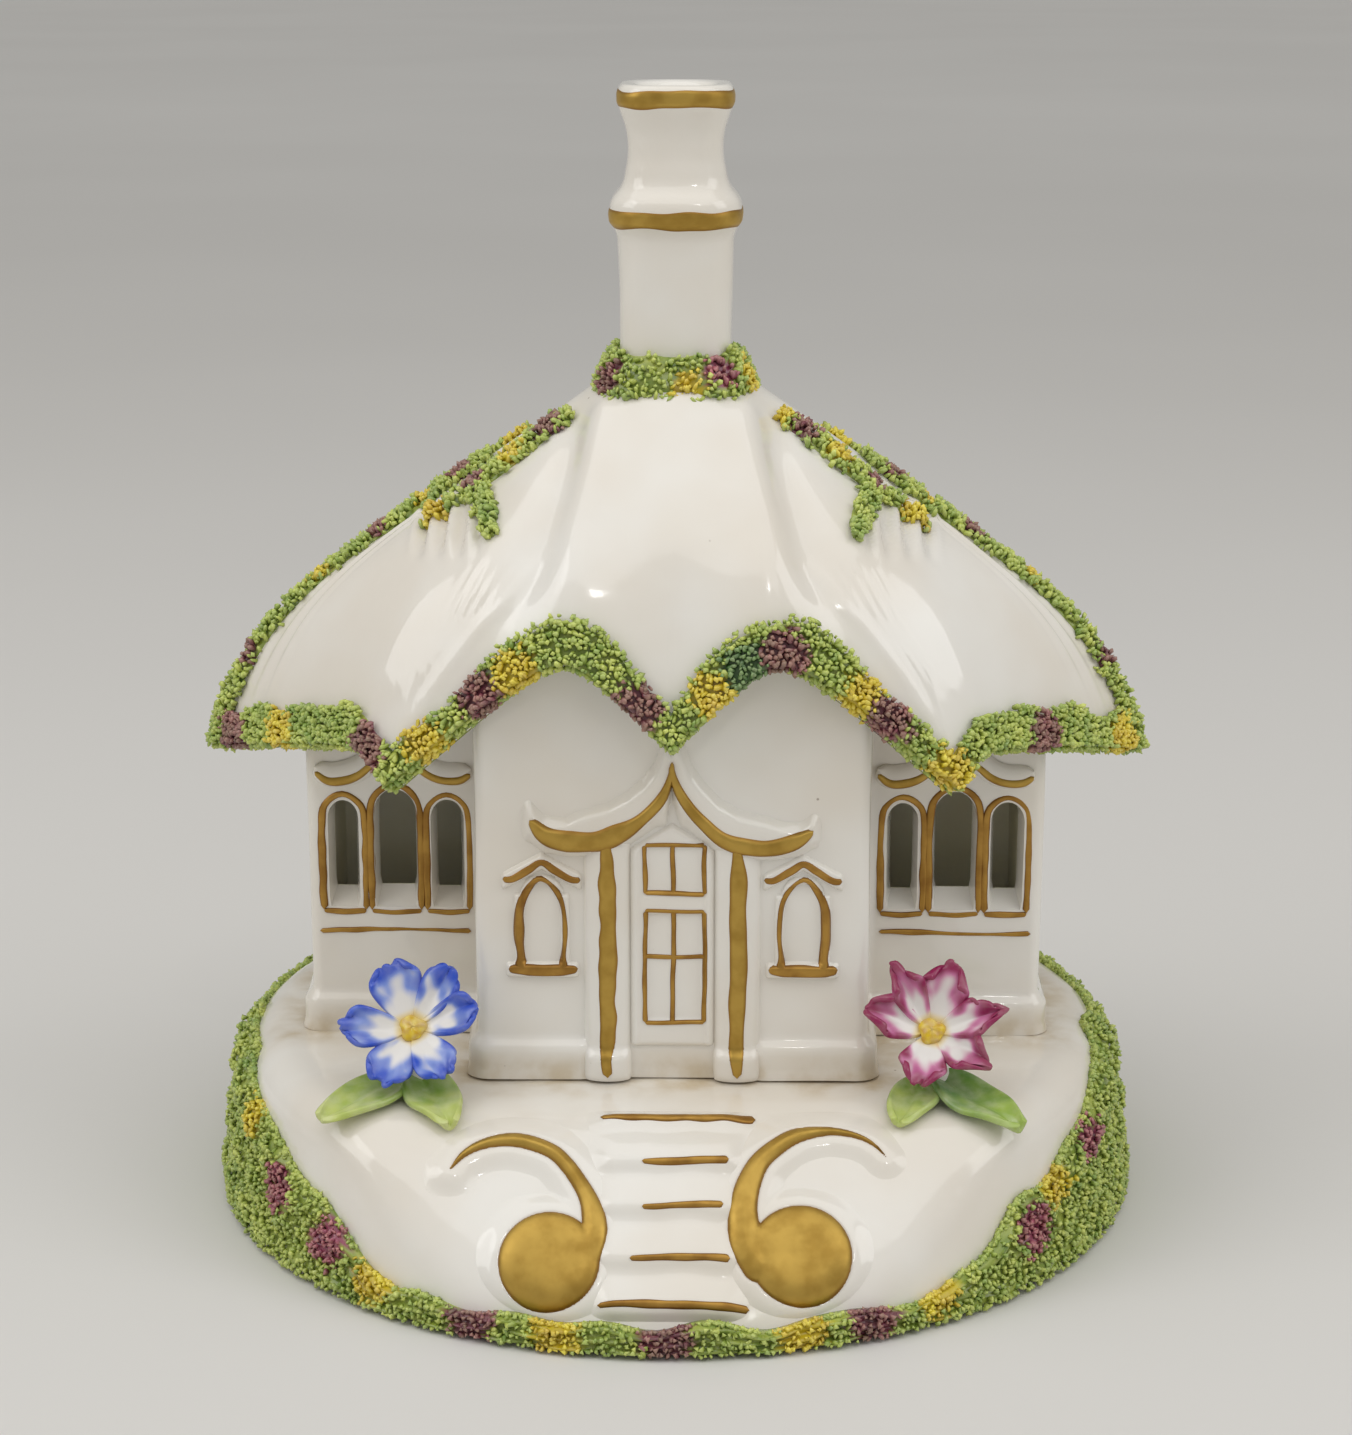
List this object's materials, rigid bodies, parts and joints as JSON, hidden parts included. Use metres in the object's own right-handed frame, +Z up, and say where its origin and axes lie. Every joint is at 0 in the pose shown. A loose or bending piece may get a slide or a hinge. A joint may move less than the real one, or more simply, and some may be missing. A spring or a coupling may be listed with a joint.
{
  "type": "pastille burner",
  "caption": "Hollow china cottage with a draped umbrella roof and open chimney that lifts off a mound base; a scented pastille burns inside and its smoke leaves by the chimney and windows.",
  "frame": {"origin": "centre of the base's foot, on the table", "axes": "+Z up, the porch and steps face -Y, +X to the right seen from the front"},
  "size_m": [0.1188, 0.1166, 0.1364],
  "materials": {
    "porcelain": "clear glossy glaze on warm white bone china",
    "gilding": "fired bright gold over the glaze",
    "moss": "shredded clay grains in green, yellow and maroon enamel",
    "blue_petal": "glazed petals, blue at the edge and white inside",
    "pink_petal": "glazed petals, magenta at the edge and white inside",
    "yellow_eye": "glazed yellow enamel",
    "leaf": "glazed light green enamel",
    "biscuit": "unglazed clay"
  },
  "bodies": {
    "base": {"base_mound": "porcelain", "front_steps": "porcelain", "scroll_left": "gilding", "scroll_right": "gilding", "base_moss": "moss", "pastille_cup": "biscuit", "blue_petals": "blue_petal", "blue_eye": "yellow_eye", "blue_leaf_left": "leaf", "blue_leaf_right": "leaf", "pink_petals": "pink_petal", "pink_eye": "yellow_eye", "pink_leaf_left": "leaf", "pink_leaf_right": "leaf"},
    "house": {"house_walls": "porcelain", "porch_canopy": "gilding", "column_left": "gilding", "column_right": "gilding", "porch_door": "porcelain", "niche_left": "porcelain", "niche_right": "porcelain", "window_brow_left": "gilding", "window_brow_right": "gilding", "roof": "porcelain", "eaves_moss": "moss", "rib_garland_left": "moss", "rib_garland_right": "moss", "hip_garland_front_left": "moss", "hip_garland_front_right": "moss", "hip_garland_back_left": "moss", "hip_garland_back_right": "moss", "chimney_stack": "porcelain", "chimney_moss": "moss"}
  },
  "joints": [
    {"name": "house_lift", "type": "slide", "parent": "base", "child": "house", "axis": [0, 0, 1], "range_m": [0, 0.06]}
  ]
}
